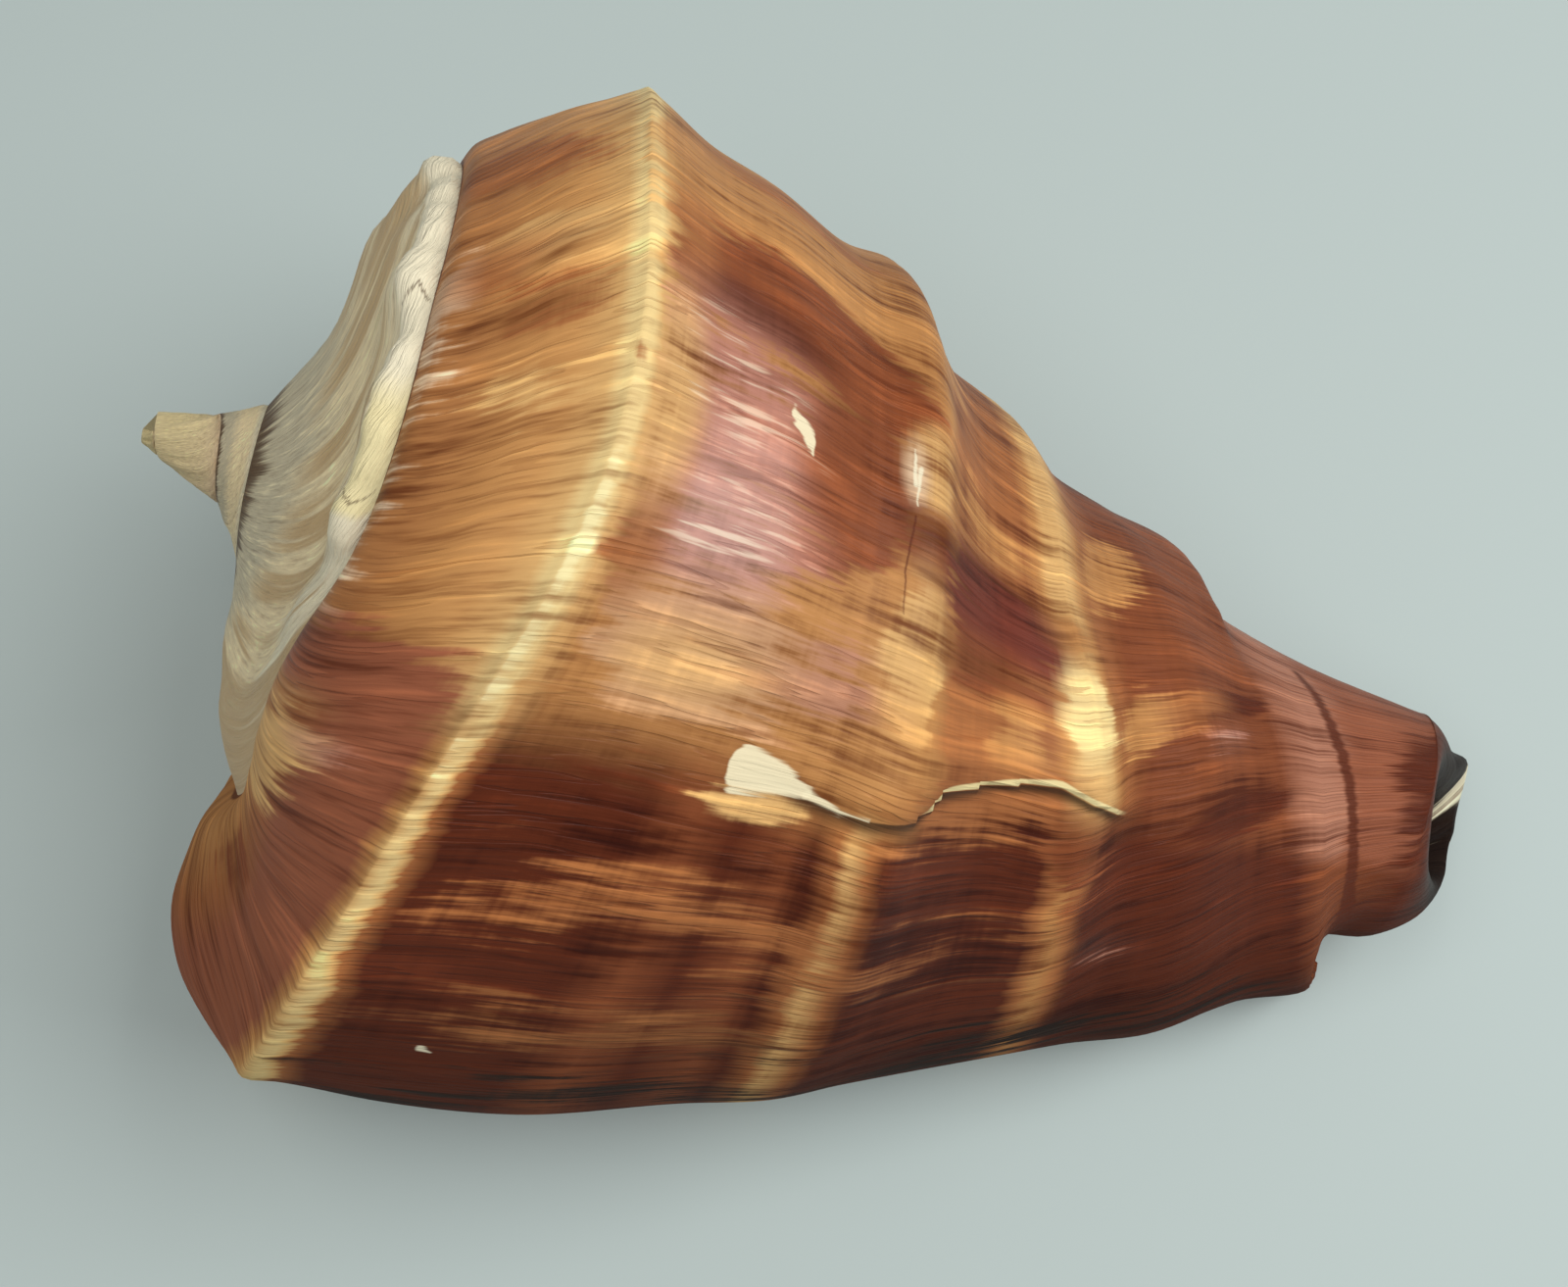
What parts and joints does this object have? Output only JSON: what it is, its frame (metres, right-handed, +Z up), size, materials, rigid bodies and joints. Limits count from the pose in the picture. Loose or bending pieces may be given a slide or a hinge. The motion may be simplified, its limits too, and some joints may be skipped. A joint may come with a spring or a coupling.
{
  "type": "vase shell",
  "caption": "Hollow spiral sea shell with a flat stepped spire, a blunt keel, low spiral cords and a short canal, lying on its mouth.",
  "frame": {"origin": "centre of the bounding box in plan, on the surface that the shell rests on", "axes": "+Z up, +X along the coil's axis from the spire to the siphon canal, and the outer lip on the -Y side"},
  "size_m": [0.0914, 0.0662, 0.0546],
  "materials": {
    "shell": "glossy, chestnut with pale cream bands, spire worn dull and pale"
  },
  "bodies": {
    "root": {"shell": "shell"}
  },
  "joints": []
}
